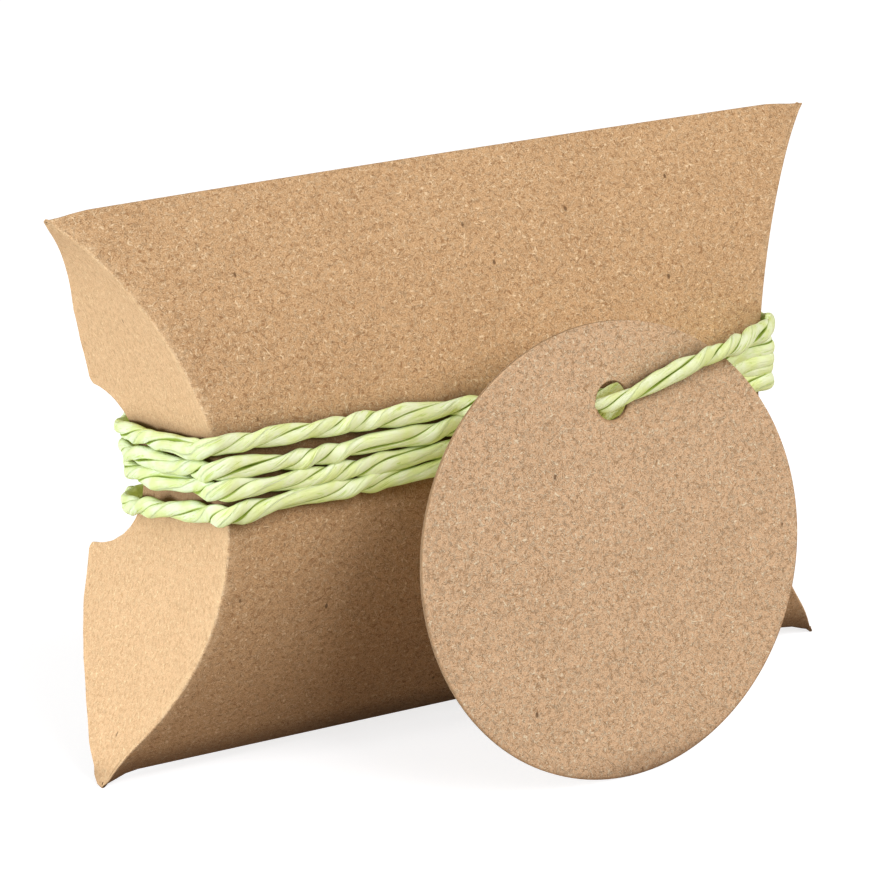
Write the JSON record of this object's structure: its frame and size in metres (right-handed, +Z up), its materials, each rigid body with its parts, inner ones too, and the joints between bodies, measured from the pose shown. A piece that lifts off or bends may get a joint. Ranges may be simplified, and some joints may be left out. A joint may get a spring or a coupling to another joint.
{
  "type": "pillow box",
  "caption": "Card pillow box with bowed panels and curved tuck flaps, tied round its length with twine that carries a punched round tag.",
  "frame": {"origin": "on the table, under the middle of the bottom fold", "axes": "+X along the box, +Z up, +Y from the tagged front panel towards the back"},
  "size_m": [0.0901, 0.0481, 0.0643],
  "materials": {
    "kraft_card": "uncoated brown kraft card",
    "glue": "dried paper adhesive",
    "tag_card": "uncoated brown kraft card, die cut",
    "paper_twine": "two-ply twisted paper cord, pale green"
  },
  "bodies": {
    "box": {"front_panel": "kraft_card", "back_panel": "kraft_card", "glue_tab": "kraft_card", "glue_strip": "glue"},
    "twine_loop": {"twine": "paper_twine", "twine_knot": "paper_twine"},
    "tag_body": {"tag": "tag_card"},
    "left_outer": {"left_outer_flap": "kraft_card"},
    "left_inner": {"left_inner_flap": "kraft_card"},
    "right_outer": {"right_outer_flap": "kraft_card"},
    "right_inner": {"right_inner_flap": "kraft_card"}
  },
  "joints": [
    {"name": "twine_slip", "type": "slide", "parent": "box", "child": "twine_loop", "axis": [0, 0, 1], "range_m": [0, 0.055], "deforming": ["twine"]},
    {"name": "tag_swing", "type": "hinge", "parent": "twine_loop", "child": "tag_body", "pos_m": [0.00887, -0.02127, 0.04033], "axis": [-0.9848, -0.1736, 0], "range_deg": [0, 60]},
    {"name": "left_outer_fold", "type": "hinge", "parent": "box", "child": "left_outer", "pos_m": [-0.0319, -0.012, 0.0328], "axis": [0, 0, 1], "range_deg": [0, 110]},
    {"name": "left_inner_fold", "type": "hinge", "parent": "box", "child": "left_inner", "pos_m": [-0.0319, 0.012, 0.0328], "axis": [0, 0, -1], "range_deg": [0, 66]},
    {"name": "right_outer_fold", "type": "hinge", "parent": "box", "child": "right_outer", "pos_m": [0.0319, -0.012, 0.0328], "axis": [0, 0, -1], "range_deg": [0, 110]},
    {"name": "right_inner_fold", "type": "hinge", "parent": "box", "child": "right_inner", "pos_m": [0.0319, 0.012, 0.0328], "axis": [0, 0, 1], "range_deg": [0, 66]}
  ],
  "couplings": [
    {"joint": "left_outer_fold", "follows": "twine_slip", "rad_per_m": 34.9},
    {"joint": "left_inner_fold", "follows": "twine_slip", "rad_per_m": 20.9},
    {"joint": "right_outer_fold", "follows": "twine_slip", "rad_per_m": 34.9},
    {"joint": "right_inner_fold", "follows": "twine_slip", "rad_per_m": 20.9}
  ]
}
